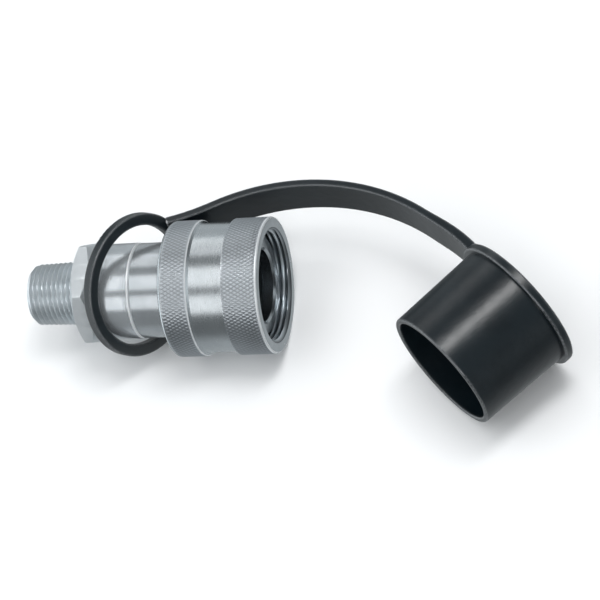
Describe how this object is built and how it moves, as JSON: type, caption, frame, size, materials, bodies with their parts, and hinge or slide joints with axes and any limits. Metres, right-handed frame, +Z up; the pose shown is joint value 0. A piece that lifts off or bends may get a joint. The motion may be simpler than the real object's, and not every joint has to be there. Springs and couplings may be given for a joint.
{
  "type": "hydraulic half coupler",
  "caption": "Female half of a screw-together hydraulic quick coupler: taper port thread, hexagon, knurled coupling sleeve, ball valve, and a rubber dust cap on a strap.",
  "frame": {"origin": "centre of the port thread's end face, on the coupler's axis", "axes": "+X along the coupler's axis towards the mouth of the sleeve; +Z up, with the coupler lying on its sleeve"},
  "size_m": [0.1548, 0.0727, 0.04],
  "materials": {
    "plated_adapter": "zinc-plated steel, satin, turned, with a milled hexagon",
    "plated_body": "zinc-plated steel, fine turned finish",
    "plated_sleeve": "zinc-plated steel, diamond knurl and a smooth turned band",
    "spring_wire": "drawn spring wire",
    "plain_steel": "machined steel, oiled",
    "polished_ball": "ground and polished bearing ball",
    "seal_rubber": "moulded nitrile rubber",
    "backup_plastic": "turned seal plastic",
    "cap_rubber": "moulded black rubber, satin, soft sheen"
  },
  "bodies": {
    "coupler": {"port_adapter": "plated_adapter", "coupler_body": "plated_body", "sleeve_retaining_ring": "spring_wire", "ball_stop": "plain_steel", "valve_spring": "spring_wire", "joint_o_ring": "seal_rubber", "socket_o_ring": "seal_rubber", "socket_backup_ring": "backup_plastic"},
    "sleeve": {"coupling_sleeve": "plated_sleeve"},
    "valve": {"valve_ball": "polished_ball"},
    "cap": {"dust_cap": "cap_rubber"}
  },
  "joints": [
    {"name": "sleeve_spin", "type": "hinge", "parent": "coupler", "child": "sleeve", "pos_m": [0.055, 0, 0], "axis": [1, 0, 0], "continuous": true},
    {"name": "ball_lift", "type": "slide", "parent": "coupler", "child": "valve", "axis": [-1, 0, 0], "range_m": [0, 0.003], "stiffness_N_per_m": 400, "springref_m": -0.004, "deforming": ["valve_spring"]},
    {"name": "tether_swivel", "type": "hinge", "parent": "coupler", "child": "cap", "pos_m": [0.0312, 0, 0], "axis": [1, 0, 0], "continuous": true}
  ]
}
